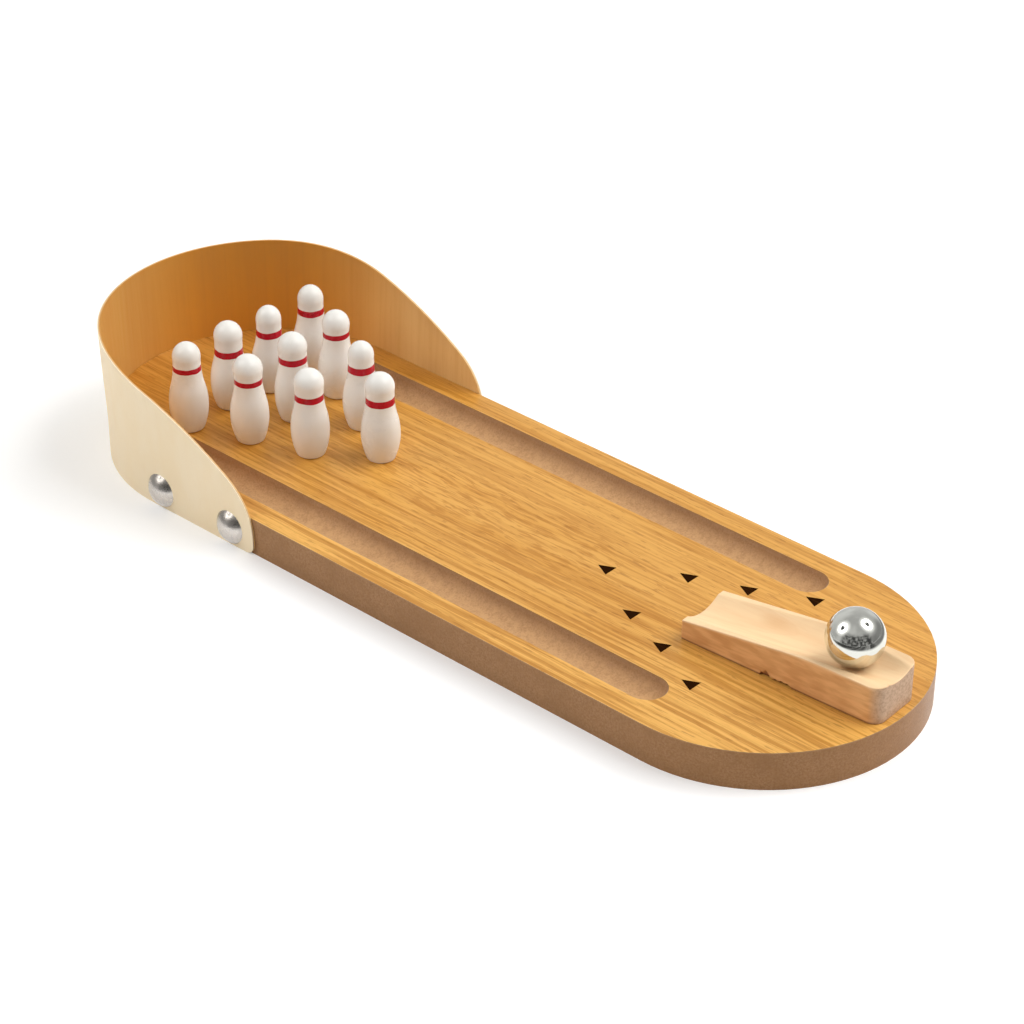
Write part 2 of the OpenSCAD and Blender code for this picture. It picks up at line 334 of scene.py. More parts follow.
# Places and sizes are millimetres. Fibres are (width, length, level, softness); a span is (from, to) with,
# where it has four numbers, its values there; figured is where the rings arch, as (middle X, middle Y, half
# X, half Y).
oakSheet = {
    "pale": (0.745, 0.378, 0.075),
    "body": (0.668, 0.312, 0.044),
    "deep": (0.43, 0.155, 0.004),
    # The bright colour is painted light along the left side and beside the ramp
    "bright": (0.86, 0.465, 0.105),
    "pore": (0.27, 0.082, 0.002),
    "cutEdge": (0.38, 0.21, 0.08),
    # The rim colour is a painted pale highlight along the gutters' rims and the board's outline
    "rim": (0.80, 0.53, 0.26),
    "rings": {"Pith X": 2.5, "Pith Z": 12.3, "Tilt": 0.1, "Ring Width": 1.7, "Wander": 3.0},
    "archStart": 75.0,
    "figured": (1.0, 8.0, 17.0, 58.0),
    "waver": (0.11, 0.05, 0.0),
    "fibres": {
        "bands": (4.5, 90.0, 0.42, 0.20),
        "long": (0.8, 36.0, 0.46, 0.16),
        "lines": (0.45, 20.0, 0.50, 0.10),
        "short": (0.6, 4.6, 0.50, 0.12),
        "pores": (0.34, 2.8, 0.54, 0.10),
    },
    "streakSpan": (34.0, -42.0, 0.75, 1.5),
    # The left and ramp spans set where painted light brightens the oak
    "litLeftSpan": (-24.0, -38.0),
    "litRampSpan": (-60.0, -98.0),
    "litRampLeftSpan": (20.0, -8.0, 0.1, 1.0),
    # The pin deck's span, along which painted shade darkens the oak inside the guard
    "deckShadeSpan": (45.0, 100.0, 0.0, 0.18),
    "shares": {
        "bands": 0.7, "bright": 0.85, "streaks": 0.44, "dashes": 0.52,
        "crisp": 0.56, "early": 0.08, "pits": 0.40,
    },
    "rimWidth": 0.4,
    "rimGlintSpan": (0.40, 0.65, 0.0, 0.25),
    "roughness": (0.36, 0.48),
    "relief": 0.012,
}


# Oak: plain-sawn rings whose pith line climbs along the lane, so that they arch in the middle and run
# straight at the sides; dashes of open pores crowd the start of each ring. Painted light brightens it along
# the left side and left of the ramp, and painted shade deepens it on the pin deck inside the guard; the rims
# carry a patchy pale painted highlight, and the sheet's cut edge is bare.
def makeOak():
    values, shares = oakSheet, oakSheet["shares"]
    material, tree, place = newMaterial("oakVeneer", IOR=1.5)
    moved = vectorOf(tree, "SUBTRACT", place, (0.0, values["archStart"], 0.0))
    rings = useGroup(tree, growthRings, moved, values["rings"])
    early = stepOf(tree, rings["Ring"], 0.75, 0.1)
    middleX, middleY, halfX, halfY = values["figured"]
    split = splitOf(tree, place)
    aside = stepOf(tree, awayFrom(tree, split["X"], middleX), halfX, 0.5 * halfX)
    figured = timesOf(tree, aside, stepOf(tree, awayFrom(tree, split["Y"], middleY), halfY, 0.7 * halfY))
    wave = minusOf(tree, drawnNoise(tree, place, values["waver"], 1.0), 0.5)
    wander = timesOf(tree, wave, timesPlus(tree, figured, 2.6, 0.8))
    grain = vectorOf(tree, "ADD", place, joinOf(tree, wander))
    fibres = {key: fibresOf(tree, grain, sizes) for key, sizes in values["fibres"].items()}
    lines = {key: found["Lines"] for key, found in fibres.items()}
    tones = fibres["lines"]["Tone"]
    pits = timesOf(tree, lines["pores"], timesPlus(tree, early, 0.8, 0.2))
    streaks = timesOf(tree, lines["long"], timesPlus(tree, figured, -0.6, 1.0))
    streaks = timesOf(tree, streaks, stepOf(tree, split["X"], *values["streakSpan"]))
    # Painted light: a brighter zone along the left side and to the left of the ramp
    litLeftOfRamp = stepOf(tree, split["X"], *values["litRampLeftSpan"])
    litByRamp = timesOf(tree, stepOf(tree, split["Y"], *values["litRampSpan"]), litLeftOfRamp)
    bright = mathOf(tree, "MAXIMUM", stepOf(tree, split["X"], *values["litLeftSpan"]), litByRamp)
    dashes = timesOf(tree, lines["short"], timesPlus(tree, figured, 0.8, 0.2))
    crisp = timesOf(tree, lines["lines"], timesPlus(tree, lines["bands"], 0.4, 0.6))
    crisp = timesOf(tree, crisp, timesPlus(tree, bright, -0.3, 1.0))
    tone = layOver(tree, values["pale"], lines["bands"], shares["bands"], values["body"])
    tone = layOver(tree, tone, bright, shares["bright"], values["bright"])
    for mask, key in ((streaks, "streaks"), (dashes, "dashes"), (crisp, "crisp")):
        tone = layOver(tree, tone, mask, shares[key], values["deep"])
    # Painted shade: the oak darkens on the pin deck, inside the guard
    deckShade = stepOf(tree, split["Y"], *values["deckShadeSpan"])
    tone = blendOf(tree, timesPlus(tree, early, shares["early"], deckShade), tone, values["deep"])
    tone = layOver(tree, tone, pits, shares["pits"], values["pore"])
    # Painted highlight: a patchy pale line along the gutters' rims and the board's outline
    rims = [rimOf(tree, place, values["rimWidth"], which) for which in ("gutters", "outline")]
    patchy = stepOf(tree, noiseOf(tree, place, 0.5, 2.0), *values["rimGlintSpan"])
    tone = blendOf(tree, timesOf(tree, mathOf(tree, "MAXIMUM", *rims), patchy), tone, values["rim"])
    cut = stepOf(tree, mathOf(tree, "ABSOLUTE", upwardOf(tree)), 0.8, 0.5)
    colour = blendOf(tree, cut, tone, values["cutEdge"])
    relief = minusOf(tree, timesOf(tree, tones, 0.25), pits)
    return finishMaterial(material, values, colour, relief, timesPlus(tree, tones, 0.4, pits), 0.0, 1.0)


# gutterDepth is the two heights between which the routed board's colour goes over to the paler gutter one,
# paler with depth as painted light on the gutter floor
fibreBoard = {
    "pale": (0.42, 0.215, 0.088),
    "body": (0.31, 0.143, 0.046),
    "dark": (0.15, 0.062, 0.02),
    "fuzz": (0.54, 0.34, 0.19),
    # The pale gutter colour is routed fibre together with painted light on the gutter floor
    "routedAndLit": (0.585, 0.33, 0.141),
    "gutterDepth": (12.0, 7.4),
    "fine": {"Size": 0.3, "Specks": 0.2},
    "coarse": {"Size": 1.1, "Specks": 0.14},
    "sheen": (0.40, 0.35),
    "rimWidth": 0.8,
    "roughness": (0.62, 0.78),
    "relief": 0.05,
}


# Fibreboard: mottled brown with fine pale fibres and sparse dark specks, matt and a little fuzzy, paler in
# the gutters as routed fibre and as painted light that grows towards the gutter floor
def makeFibreboard():
    values = fibreBoard
    weight, spread = values["sheen"]
    material, tree, place = newMaterial("fibreBoard", IOR=1.45, Sheen_Weight=weight, Sheen_Roughness=spread)
    fine = useGroup(tree, fineGrit, place, values["fine"])
    coarse = useGroup(tree, fineGrit, place, values["coarse"])
    broad = noiseOf(tree, place, 0.09, 3.0, 0.6)
    tone = blendOf(tree, stepOf(tree, fine["Grit"], 0.28, 0.72), values["body"], values["pale"])
    tone = blendOf(tree, stepOf(tree, broad, 0.35, 0.68, 0.0, 0.6), tone, values["body"])
    tone = blendOf(tree, stepOf(tree, coarse["Grit"], 0.5, 0.75, 0.0, 0.45), tone, values["pale"])
    distance, halfWidth = railOf(tree, place, "gutters")
    height = splitOf(tree, place)["Z"]
    routed = timesOf(tree, stepOf(tree, distance, halfWidth + 0.3, halfWidth), stepOf(tree, height, 6.5, 7.0))
    routed = timesOf(tree, routed, stepOf(tree, height, *values["gutterDepth"]))
    mottle = timesPlus(tree, coarse["Grit"], 0.6, timesOf(tree, fine["Grit"], 0.4))
    # Paler routed fibre in the gutters, growing with depth as painted light on the gutter floor
    worn = timesOf(tree, routed, stepOf(tree, mottle, 0.34, 0.62, 0.45, 1.0))
    tone = blendOf(tree, worn, tone, values["routedAndLit"])
    rim = timesOf(tree, rimOf(tree, place, values["rimWidth"], "gutters"), 0.4)
    tone = layOver(tree, tone, rim, coarse["Grit"], values["fuzz"])
    specks = mathOf(tree, "ADD", fine["Specks"], timesOf(tree, coarse["Specks"], 0.6), clamp=True)
    colour = layOver(tree, tone, specks, timesPlus(tree, routed, -0.22, 0.45), values["dark"])
    relief = minusOf(tree, fine["Grit"], timesOf(tree, specks, 0.5))
    return finishMaterial(material, values, colour, relief, coarse["Grit"], 0.2, 0.8)


# The sheet's inner radius, its back middle's place along the lane, and the height from which it leans out by
# this share; the two changes of ply are depths through the sheet, and spans of the inside run along the bend
bentPly = {
    "radius": 50.1,
    "backMiddle": 96.9,
    "lean": (12.3, 0.04075),
    "plies": (0.25, 0.55),
    "plyChange": 0.05,
    # The inside's colours paint light and shade: the plain one for its lit sides, the deep one shaded round
    # the back, the cool one half lit on the left; the streak colour is grain and also painted shade towards
    # the top
    "inside": (0.82, 0.525, 0.205),
    "insideShaded": (0.73, 0.315, 0.03),
    "insideHalfLit": (0.64, 0.345, 0.085),
    "insideStreakAndShade": (0.56, 0.245, 0.045),
    "outside": (0.99, 0.82, 0.572),
    "outsideDeep": (0.95, 0.74, 0.452),
    "core": (0.66, 0.46, 0.27),
    "fibres": {
        "soft": (6.0, 110.0, 0.38, 0.28),
        "fine": (0.7, 22.0, 0.42, 0.32),
        "fleck": (0.3, 2.2, 0.62, 0.06),
    },
    "cloud": (0.07, 0.035, 0.0),
    "halfLitSpan": (22.0, -22.0),
    "litSideSpans": ((45.0, 105.0), (-38.0, -98.0)),
    "topShadeSpan": (18.0, 44.0, 0.0, 0.24),
    "roughness": (0.50, 0.64),
    "relief": 0.008,
}


# Bent plywood: the place along the bend, the height and the depth through the sheet take the place of X, Y
# and Z. Both faces have upright grain; the inside has painted light at its sides and on the left, painted
# shade round the back and towards the top, and the edge shows three plies.
def makeBentPly():
    values = bentPly
    material, tree, place = newMaterial("bentPly", IOR=1.45)
    split = splitOf(tree, place)
    beyond = minusOf(tree, split["Y"], values["backMiddle"])
    pastMiddle = mathOf(tree, "MAXIMUM", beyond, 0.0)
    reach = vectorOf(tree, "LENGTH", joinOf(tree, split["X"], pastMiddle))
    leanFrom, lean = values["lean"]
    above = mathOf(tree, "MAXIMUM", minusOf(tree, split["Z"], leanFrom), 0.0)
    depth = minusOf(tree, reach, timesPlus(tree, above, lean, values["radius"]))
    bend = timesOf(tree, mathOf(tree, "ARCTAN2", split["X"], pastMiddle), values["radius"])
    straight = timesOf(tree, mathOf(tree, "MINIMUM", beyond, 0.0), mathOf(tree, "SIGN", split["X"]))
    along = minusOf(tree, bend, straight)
    grain = joinOf(tree, along, split["Z"], depth)
    soft, fine, fleck = (fibresOf(tree, grain, values["fibres"][key]) for key in ("soft", "fine", "fleck"))
    shade = timesPlus(tree, soft["Lines"], 0.22, timesOf(tree, fine["Lines"], 0.13))
    # Painted light and shade inside: shaded round the back, half lit on the left, lit at both far sides, and
    # shaded towards the top
    halfLitPart = stepOf(tree, along, *values["halfLitSpan"])
    inner = blendOf(tree, halfLitPart, values["insideShaded"], values["insideHalfLit"])
    sides = mathOf(tree, "MAXIMUM", *(stepOf(tree, along, *span) for span in values["litSideSpans"]))
    inner = blendOf(tree, sides, inner, values["inside"])
    topShade = stepOf(tree, split["Z"], *values["topShadeSpan"])
    inner = blendOf(tree, mathOf(tree, "ADD", shade, topShade), inner, values["insideStreakAndShade"])
    cloud = stepOf(tree, drawnNoise(tree, grain, values["cloud"], 3.0, 0.55), 0.35, 0.7)
    aged = timesPlus(tree, cloud, 0.4, timesOf(tree, shade, 0.4))
    outer = blendOf(tree, aged, values["outside"], values["outsideDeep"])
    pastInner, pastCore = (stepOf(tree, depth, at, at + values["plyChange"]) for at in values["plies"])
    colour = blendOf(tree, pastCore, inner, outer)
    colour = layOver(tree, colour, pastInner, minusOf(tree, 1.0, pastCore), values["core"])
    flecked = timesPlus(tree, pastCore, -0.09, 0.12)
    colour = layOver(tree, colour, fleck["Lines"], flecked, values["insideStreakAndShade"])
    return finishMaterial(material, values, colour, fine["Tone"], fine["Tone"], 0.2, 0.8)


# Nickelled tacks: satin bright, with painted shade darkening the dome where it turns upwards. A smudge's
# numbers are its share of the dulled colour and of the wear.
tackChrome = {
    "colour": (0.64, 0.60, 0.565),
    "dulled": 0.82,
    "paintedShadeTop": (0.24, 0.215, 0.185),
    "paintedShadeSpan": (0.15, 0.55, 0.0, 0.75),
    "marks": {"Smudge Size": 2.5, "Scratch Length": 2.0},
    "smudge": (0.5, 1.0),
    "mostWear": 1.2,
    "roughness": (0.27, 0.37),
    "relief": 0.004,
}

# Polished steel: a mirror with a few smudges and hair scratches
ballSteel = {
    "colour": (0.735, 0.735, 0.68),
    "dulled": 0.9,
    "marks": {"Smudge Size": 5.0, "Scratch Length": 5.0},
    "smudge": (0.4, 0.45),
    "mostWear": 1.0,
    "roughness": (0.09, 0.16),
    "relief": 0.002,
}


# Metal: handling dulls it in patches and scratches it, and both roughen it
def makeMetal(name, values):
    material, tree, place = newMaterial(name, Metallic=1.0)
    marks = useGroup(tree, handMarks, place, values["marks"])
    dulling, wear = values["smudge"]
    dulled = tuple(values["dulled"] * part for part in values["colour"])
    colour = layOver(tree, values["colour"], marks["Smudge"], dulling, dulled)
    # Painted shade: where the dome turns upwards it is darkened, which dims its mirrored lamp and room
    if "paintedShadeTop" in values:
        turnedUp = stepOf(tree, upwardOf(tree), *values["paintedShadeSpan"])
        colour = blendOf(tree, turnedUp, colour, values["paintedShadeTop"])
    handled = timesPlus(tree, marks["Smudge"], wear, marks["Scratch"])
    relief = timesOf(tree, marks["Scratch"], -1.0)
    return finishMaterial(material, values, colour, relief, handled, 0.0, values["mostWear"])


pinPaint = {
    "white": (0.87, 0.845, 0.79),
    "shade": (0.82, 0.785, 0.715),
    "band": (0.50, 0.002, 0.02),
    "bandThick": (0.40, 0.001, 0.012),
    "bandEdge": 0.12,
    "bandWaver": 0.55,
    "bareWood": (0.70, 0.52, 0.33),
    "bareSpan": (0.25, 0.05),
    "grit": {"Size": 0.7},
    "marks": {"Smudge Size": 7.0},
    "turning": (0.05, 0.05, 1.6),
    "roughness": (0.20, 0.32),
    "relief": 0.03,
}


# Painted pin: satin white over turned wood, a brushed band with uneven edges, and a bare foot. The band's
# low and high edge are millimetres above the foot.
def makePinPaint(name, bandLow, bandHigh):
    values, edge = pinPaint, pinPaint["bandEdge"]
    low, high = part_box(name)
    material, tree, place = newMaterial("paint_" + name, IOR=1.4)
    own = vectorOf(tree, "SUBTRACT", place, tuple(((low + high) / 2 / mm)[:2]) + (low.z / mm,))
    height = splitOf(tree, own)["Z"]
    grit = useGroup(tree, fineGrit, place, values["grit"])["Grit"]
    smudge = useGroup(tree, handMarks, place, values["marks"])["Smudge"]
    tone = layOver(tree, values["white"], smudge, 0.5, values["shade"])
    waver = minusOf(tree, noiseOf(tree, place, 0.28, 2.0), 0.5)
    wet = timesPlus(tree, waver, values["bandWaver"], height)
    overLow = stepOf(tree, wet, bandLow, bandLow + edge)
    underHigh = stepOf(tree, wet, bandHigh, bandHigh - edge)
    band = timesOf(tree, overLow, underHigh)
    thick = stepOf(tree, noiseOf(tree, place, 0.7, 2.0), 0.45, 0.7)
    red = blendOf(tree, thick, values["band"], values["bandThick"])
    colour = blendOf(tree, band, tone, red)
    colour = blendOf(tree, stepOf(tree, height, *values["bareSpan"]), colour, values["bareWood"])
    relief = timesPlus(tree, drawnNoise(tree, own, values["turning"], 2.0), 0.8, timesOf(tree, grit, 0.5))
    relief, wear = mathOf(tree, "ADD", relief, band), mathOf(tree, "ADD", smudge, grit)
    return finishMaterial(material, values, colour, relief, wear, 0.3, 1.5)


dress("oak_face", makeOak())
dress("lane_board", makeFibreboard())
dress("pin_guard", makeBentPly())
dress("steel_ball", makeMetal("ballSteel", ballSteel))
chrome = makeMetal("tackChrome", tackChrome)
for tack in ("tack_left_front", "tack_left_rear", "tack_right_front", "tack_right_rear"):
    dress(tack, chrome)
print("CAD nodes dressed")


# A mesh and its object from points and faces, with one material
def newPiece(name, points, faces, material):
    mesh = bpy.data.meshes.new(name)
    mesh.from_pydata(points, [], faces)
    mesh.materials.append(material)
    piece = bpy.data.objects.new(name, mesh)
    scene.collection.objects.link(piece)
    return piece


# A mesh from rows of points: quads join each row to the next, closed rows join end to start, caps close both
# ends, and edges of more than 40 degrees stay hard
def gridPiece(name, points, material, closed=False, caps=False):
    rows, columns = points.shape[:2]
    index = np.arange(rows * columns).reshape(rows, columns)
    ahead = np.roll(index, -1, axis=1) if closed else index[:, 1:]
    here = index if closed else index[:, :-1]
    quads = np.stack([here[:-1], ahead[:-1], ahead[1:], here[1:]], axis=-1).reshape(-1, 4).tolist()
    ends = [index[0, ::-1].tolist(), index[-1].tolist()] if caps else []
    piece = newPiece(name, points.reshape(-1, 3), quads + ends, material)
    piece.data.polygons.foreach_set("use_smooth", [True] * len(quads) + [False] * len(ends))
    piece.data.set_sharp_from_angle(angle=math.radians(40.0))
    return piece


# Turned pins: the common sizes repeat the CAD pin's, in millimetres. Each pin then has its own painted band,
# as its low and high edge, and its own shares of the height, foot, belly, neck and head, because no two are
# quite alike.
turnedPin = {
    "height": 30.0, "head": 9.4, "neck": 8.9, "belly": 12.4,
    "bellyHeight": 8.8, "bellyCurve": 24.0, "footRound": 0.8,
    "shareHeights": (0.0, 8.8, 20.5, 25.0),
    "columns": 48,
    "pins": {
        "pin_01": ((19.4, 21.9), 0.985, 0.96, 0.99, 1.0, 0.98),
        "pin_02": ((19.3, 21.45), 0.977, 0.96, 0.97, 1.0, 1.0),
        "pin_03": ((19.85, 22.3), 0.99, 0.95, 0.975, 0.94, 0.87),
        "pin_04": ((20.1, 21.95), 0.982, 0.95, 0.975, 0.98, 0.985),
        "pin_05": ((20.15, 22.4), 0.995, 0.96, 0.975, 1.0, 0.985),
        "pin_06": ((21.05, 23.0), 0.99, 0.96, 0.975, 0.945, 0.93),
        "pin_07": ((20.5, 22.35), 0.99, 1.0, 1.0, 1.0, 0.94),
        "pin_08": ((18.55, 20.9), 0.986, 0.97, 0.985, 0.99, 0.965),
        "pin_09": ((19.4, 21.75), 0.977, 0.96, 0.97, 0.91, 0.86),
        "pin_10": ((20.25, 22.45), 0.99, 0.96, 0.975, 0.95, 0.885),
    },
}


# The common pin's half outline, as heights and radii: a rounded foot, the belly's long circle, the neck's
# hollow circle and the head's circle. The neck's drop below the head is where one circle touches both the
# head's and the belly's.
def pinOutline():
    values = turnedPin
    head, neck, belly = values["head"] / 2, values["neck"] / 2, values["belly"] / 2
    curve, foot, low = values["bellyCurve"], values["footRound"], values["bellyHeight"]
    headZ = values["height"] - head
    span = headZ - low
    ratio = (belly - neck) / (head - neck)
    rest = (belly - neck) * (2 * curve + neck - belly) - ratio * (head - neck) * (head + neck) - span ** 2
    drop = (math.sqrt(span ** 2 - (ratio - 1) * rest) - span) / (ratio - 1)
    hollow = (drop ** 2 - (head - neck) * (head + neck)) / (2 * (head - neck))
    neckTop = headZ - drop * head / (head + hollow)
    neckLow = low + (span - drop) * curve / (curve + hollow)
    footX = belly - curve + math.sqrt((curve - foot) ** 2 - (low - foot) ** 2)
    footTop = low - curve * (low - foot) / (curve - foot)
    footArc = np.linspace(-math.pi / 2, math.asin((footTop - foot) / foot), 7)
    onBelly = np.linspace(footTop, neckLow, 28)[1:]
    onNeck = np.linspace(neckLow, neckTop, 18)[1:]
    headArc = np.linspace(math.asin((neckTop - headZ) / head), math.pi / 2 - 0.02, 22)[1:]
    heights = [foot + foot * np.sin(footArc), onBelly, onNeck, headZ + head * np.sin(headArc)]
    radii = [
        footX + foot * np.cos(footArc),
        belly - curve + np.sqrt(curve ** 2 - (onBelly - low) ** 2),
        neck + hollow - np.sqrt(hollow ** 2 - (onNeck - headZ + drop) ** 2),
        head * np.cos(headArc),
    ]
    return np.concatenate(heights), np.concatenate(radii)


# Pins: the common outline's radii, times the pin's own shares eased from one to the next, are turned
def makePins():
    heights, radii = pinOutline()
    knots = np.array(turnedPin["shareHeights"])
    stretch = np.clip((heights - knots[:-1, None]) / (knots[1:] - knots[:-1])[:, None], 0, 1)
    eased = stretch ** 2 * (3 - 2 * stretch)
    around = np.linspace(0.0, 2 * math.pi, turnedPin["columns"] + 1)[None, :-1]
    for name, (band, tall, *shares) in turnedPin["pins"].items():
        low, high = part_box(name)
        radius = (radii * (shares[0] + np.diff(shares) @ eased))[:, None] * mm
        points = np.stack([
            (low.x + high.x) / 2 + radius * np.cos(around),
            (low.y + high.y) / 2 + radius * np.sin(around),
            low.z + heights[:, None] * tall * mm + 0 * around,
        ], axis=-1)
        piece = gridPiece("turned_" + name, points, makePinPaint(name, *band), closed=True, caps=True)
        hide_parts(name)
        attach(piece, name)


makePins()
print("pins turned")


# The block's own values repeat the CAD ramp's, in millimetres; chips are (distance from the lane end,
# height). The end grain starts this far before the rear end, and a painted shadow darkens the foot below
# these heights.
rampBlock = {
    "length": 66.0, "width": 19.5, "rear": 12.0, "lip": 6.4, "run": 42.0, "crown": 120.0, "corner": 4.0,
    "grooveRadius": 13.0, "grooveLip": 4.2, "grooveSlope": 5.7, "turn": 2.7,
    "easing": 0.3, "lipEasing": 0.12,
    "chips": [(27.0, 0.0), (27.5, 1.6), (28.2, 1.3), (29.0, 2.4), (29.8, 1.9), (30.5, 0.8), (31.5, 0.5),
              (32.4, 0.9), (33.2, 0.5), (34.2, 1.1), (35.2, 0.8), (36.3, 1.1), (37.2, 0.5), (38.0, 0.0)],
    "chipDepth": 0.8, "chipLift": 0.35,
    "endGrainFrom": 3.4,
    "pale": (0.95, 0.68, 0.395),
    "body": (0.88, 0.555, 0.29),
    "late": (0.74, 0.39, 0.175),
    "sawn": (0.85, 0.48, 0.205),
    "sawnDeep": (0.56, 0.245, 0.078),
    "endGrain": (0.60, 0.405, 0.268),
    "endPit": (0.38, 0.225, 0.135),
    # The torn colour is torn wood painted dark as its shade, and also the painted shadow along the foot
    "tornShaded": (0.17, 0.052, 0.016),
    "knot": {"place": (4.2, 12.0, 8.5), "size": 3.2, "colour": (0.72, 0.36, 0.13)},
    "rings": {"Pith X": 16.0, "Pith Z": -30.0, "Tilt": 0.03, "Ring Width": 2.1, "Wander": 3.0},
    "fibres": {
        "fine": (0.35, 14.0, 0.45, 0.3),
        "broad": (3.2, 50.0, 0.38, 0.28),
        "saw": (0.55, 7.0, 0.46, 0.22),
    },
    "grit": {"Size": 0.45},
    "mottle": (0.5, 0.13, 0.5),
    "mottleSpan": (0.36, 0.66, 0.0, 0.48),
    "footShadowSpan": (0.9, 0.3, 0.0, 0.7),
    "roughness": (0.48, 0.62),
    "relief": 0.015,
}


# Pine: planed pale on top with faint lengthwise grain and a small knot, sawn darker sides, and speckled end
# grain; a painted shadow darkens the foot of the sides, and the torn chips are painted dark as shaded. The
# piece's own attributes say where it is sawn, where its ends are and where the wood is torn and shaded.
def makePine():
    values = rampBlock
    material, tree, place = newMaterial("pine", IOR=1.45, Specular_IOR_Level=0.3)
    centred = vectorOf(tree, "SUBTRACT", place, tuple(part / mm for part in rampPivot))
    rotation = (0.0, 0.0, -math.radians(values["turn"]))
    turned = addNode(tree, "ShaderNodeMapping", {"Vector": centred, "Rotation": rotation}).outputs["Vector"]
    ring = useGroup(tree, growthRings, turned, values["rings"])["Ring"]
    late = timesOf(tree, stepOf(tree, ring, 0.35, 0.92), stepOf(tree, ring, 1.0, 0.93))
    fine, broad, saw = (fibresOf(tree, turned, values["fibres"][key]) for key in ("fine", "broad", "saw"))
    grit = useGroup(tree, fineGrit, turned, values["grit"])["Grit"]
    sawn, ended, tornShaded = (
        addNode(tree, "ShaderNodeAttribute", attribute_name=key).outputs["Fac"]
        for key in ("sawn", "endCut", "tornShaded")
    )
    top = layOver(tree, values["pale"], broad["Lines"], 0.55, values["body"])
    top = layOver(tree, top, late, 0.14, values["late"])
    top = layOver(tree, top, fine["Lines"], 0.12, values["late"])
    knot = values["knot"]
    aside = vectorOf(tree, "MULTIPLY", vectorOf(tree, "SUBTRACT", turned, knot["place"]), (1.0, 0.4, 1.0))
    near = stepOf(tree, vectorOf(tree, "LENGTH", aside), knot["size"], 0.3)
    top = layOver(tree, top, near, 0.5, knot["colour"])
    streaked = timesPlus(tree, broad["Lines"], 0.16, timesOf(tree, late, 0.08))
    side = blendOf(tree, streaked, values["sawn"], values["sawnDeep"])
    side = layOver(tree, side, saw["Lines"], 0.34, values["sawnDeep"])
    mottle = stepOf(tree, drawnNoise(tree, turned, values["mottle"], 2.0), *values["mottleSpan"])
    side = blendOf(tree, mottle, side, values["sawnDeep"])
    # Painted shadow: a dark line along the foot of the sides, where the block meets the lane
    foot = stepOf(tree, splitOf(tree, turned)["Z"], *values["footShadowSpan"])
    side = blendOf(tree, foot, side, values["tornShaded"])
    end = blendOf(tree, stepOf(tree, grit, 0.38, 0.66, 0.0, 0.6), values["endGrain"], values["endPit"])
    # The torn chips take a dark colour: torn wood with painted shade in the hollow
    colour = blendOf(tree, tornShaded, blendOf(tree, ended, blendOf(tree, sawn, top, side), end), values["tornShaded"])
    coarse = mathOf(tree, "ADD", fine["Tone"], mathOf(tree, "MAXIMUM", tornShaded, ended))
    relief = timesPlus(tree, grit, timesOf(tree, ended, 0.8), fine["Tone"])
    return finishMaterial(material, values, colour, relief, coarse, 0.2, 1.4)


